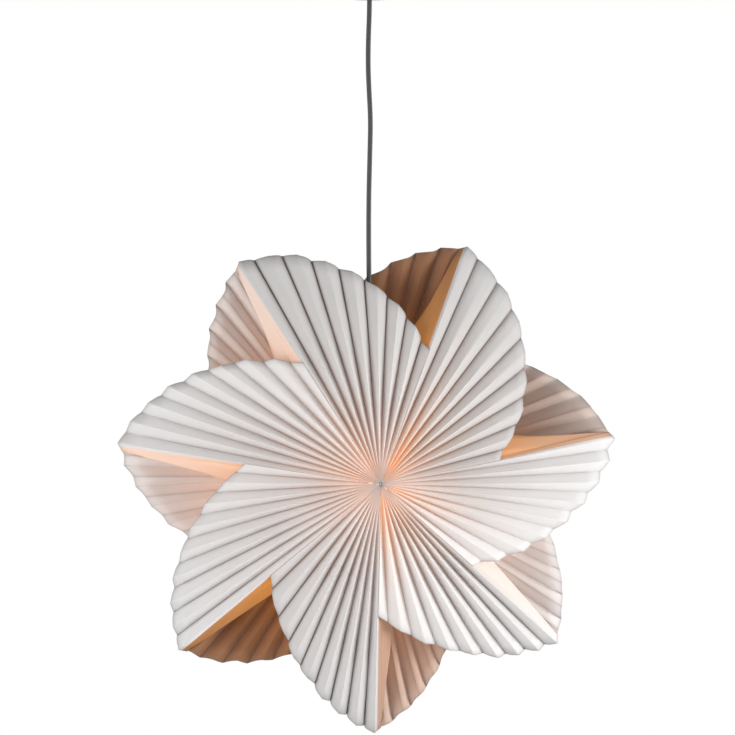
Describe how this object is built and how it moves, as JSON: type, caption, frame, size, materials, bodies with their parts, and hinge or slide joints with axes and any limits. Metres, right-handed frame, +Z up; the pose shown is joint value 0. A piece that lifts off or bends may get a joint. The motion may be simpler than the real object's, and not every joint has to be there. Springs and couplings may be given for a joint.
{
  "type": "pendant star lamp",
  "caption": "Hanging star lamp of pleated white paper with an opal bulb inside, on a flat flex from a cup-covered ceiling hook.",
  "frame": {"origin": "middle of the two screw holes, on the face of the ceiling bracket that lies against the ceiling", "axes": "+Z up; the star's front faces -Y; +X is to the right seen from the front"},
  "size_m": [0.593, 0.2102, 0.94],
  "materials": {
    "paper": "pleated white paper, matt and slightly translucent",
    "white_plastic": "smooth white moulded plastic",
    "black_plastic": "matt black insulator",
    "steel": "zinc-plated steel",
    "brass": "plain brass",
    "cord_grey": "smooth grey flex",
    "opal": "opal white diffuser"
  },
  "bodies": {
    "ceiling": {"ceiling_bracket": "steel", "ceiling_eye": "steel"},
    "link": {"hanger_link": "steel"},
    "pendant": {"cord_clip": "white_plastic", "cord": "cord_grey", "cord_tail": "cord_grey", "terminal_block": "white_plastic", "terminal_screws": "brass", "cord_grip": "white_plastic", "lampholder_cap": "white_plastic", "lampholder_body": "white_plastic", "lampholder_insert": "white_plastic", "screw_shell": "brass", "centre_contact": "brass"},
    "cup": {"ceiling_cup": "white_plastic", "cup_bush": "white_plastic", "cup_screw": "steel"},
    "ring": {"shade_ring": "white_plastic"},
    "star": {"petal_1": "paper", "petal_2": "paper", "petal_3": "paper", "petal_4": "paper", "petal_5": "paper", "petal_6": "paper", "petal_7": "paper", "front_boss": "white_plastic", "front_eyelet": "steel", "back_boss": "white_plastic", "back_eyelet": "steel", "star_hanger": "steel"},
    "bulb": {"bulb_base": "steel", "bulb_insulator": "black_plastic", "bulb_contact": "steel", "bulb_collar": "white_plastic", "bulb_globe": "opal"}
  },
  "joints": [
    {"name": "link_swing", "type": "hinge", "parent": "ceiling", "child": "link", "pos_m": [0, 0, -0.02], "axis": [1, 0, 0], "range_deg": [-6, 6]},
    {"name": "lamp_swing", "type": "hinge", "parent": "link", "child": "pendant", "pos_m": [0, 0, -0.02725], "axis": [0, 1, 0], "range_deg": [-6, 6]},
    {"name": "cup_slide", "type": "slide", "parent": "pendant", "child": "cup", "axis": [0, 0, -1], "range_m": [0, 0.28]},
    {"name": "ring_turn", "type": "hinge", "parent": "pendant", "child": "ring", "pos_m": [0, 0, -0.588], "axis": [0, 0, 1], "continuous": true},
    {"name": "star_turn", "type": "hinge", "parent": "pendant", "child": "star", "pos_m": [0, 0, -0.581], "axis": [0, 0, 1], "continuous": true},
    {"name": "bulb_unscrew", "type": "slide", "parent": "pendant", "child": "bulb", "axis": [0, 0, -1], "range_m": [0, 0.028]}
  ]
}
